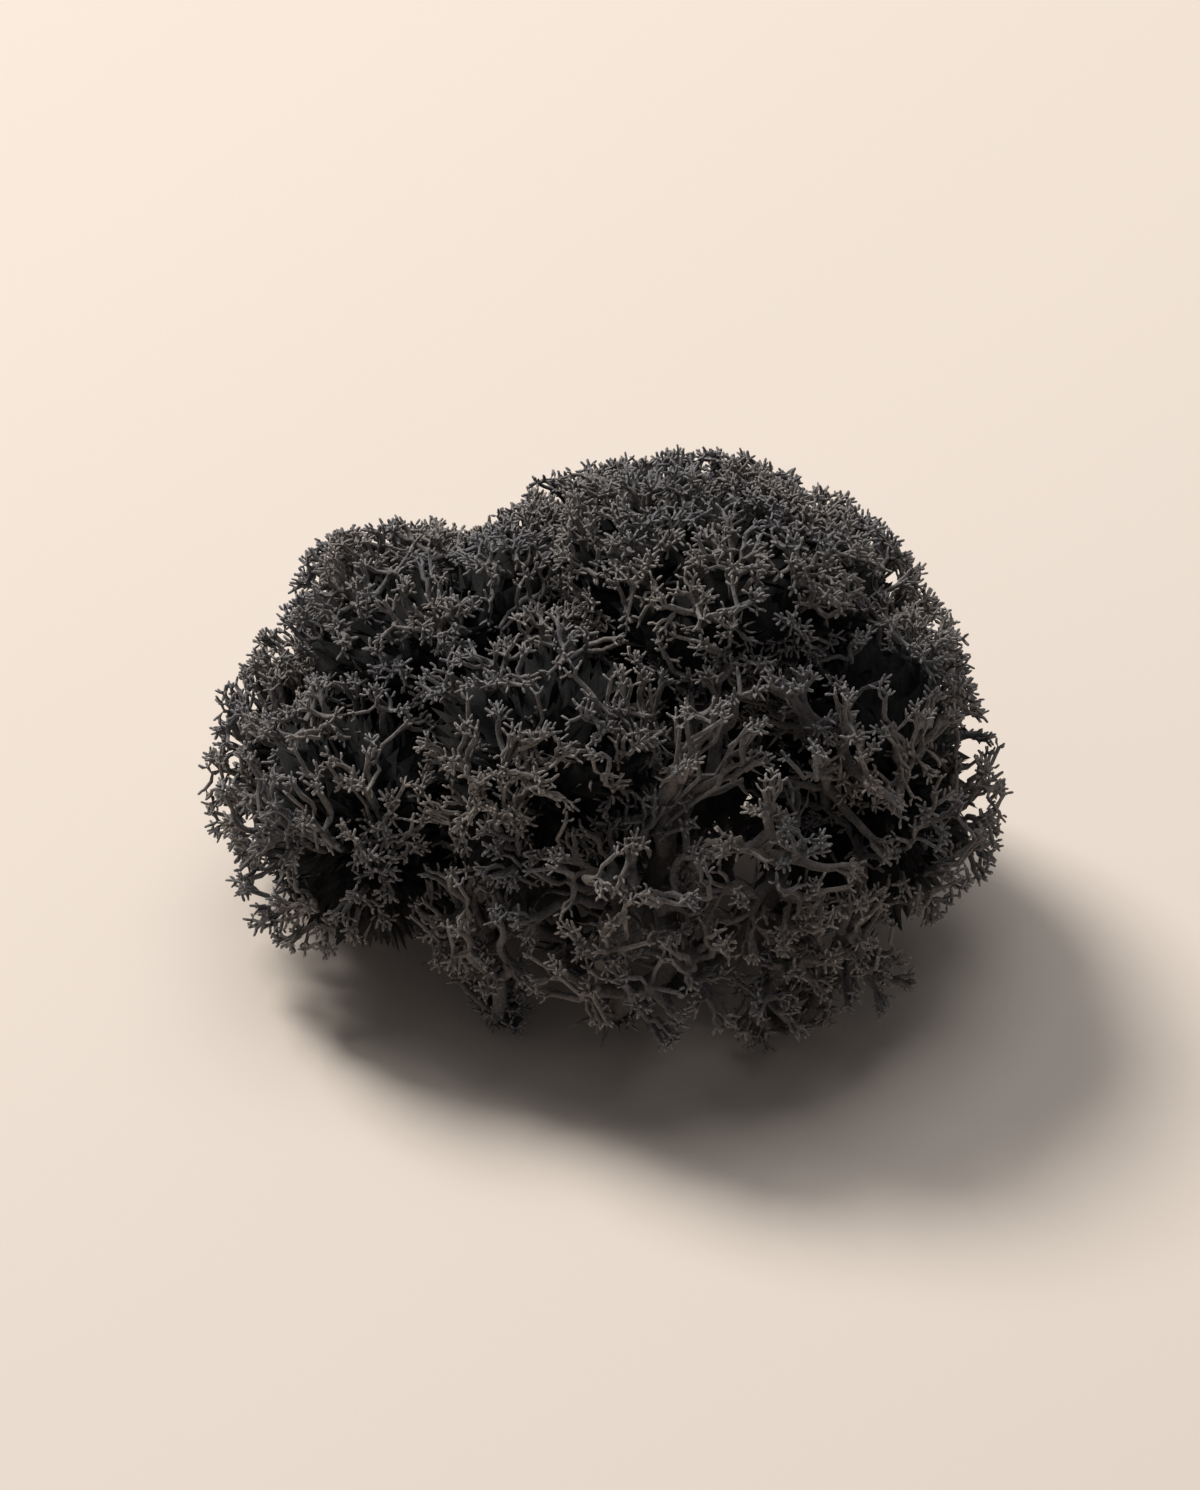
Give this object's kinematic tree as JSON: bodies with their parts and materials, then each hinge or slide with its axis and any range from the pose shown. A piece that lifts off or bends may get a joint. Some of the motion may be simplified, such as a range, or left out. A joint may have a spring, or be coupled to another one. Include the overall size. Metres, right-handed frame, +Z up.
{
  "type": "reindeer moss clump",
  "caption": "Cushion of dark dyed reindeer moss: forked lichen stalks fanning up from a narrow base into domed, star-tipped heads, open at the front.",
  "frame": {"origin": "on the surface it stands on, under the middle of its box seen from above", "axes": "+Z up, +X to the viewer's right, -Y towards the viewer and the clump's open, forked side"},
  "size_m": [0.1028, 0.0818, 0.0693],
  "materials": {
    "dyed_lichen": "matte"
  },
  "bodies": {
    "root": {"podetium_main": "dyed_lichen", "podetium_left": "dyed_lichen", "podetium_back": "dyed_lichen", "podetium_back_right": "dyed_lichen", "podetium_right": "dyed_lichen", "podetium_front": "dyed_lichen", "podetium_front_left": "dyed_lichen", "podetium_far_left": "dyed_lichen", "podetium_back_left": "dyed_lichen", "open_podetium_right": "dyed_lichen", "open_podetium_front": "dyed_lichen", "open_podetium_low_right": "dyed_lichen", "open_podetium_low_left": "dyed_lichen"}
  },
  "joints": []
}
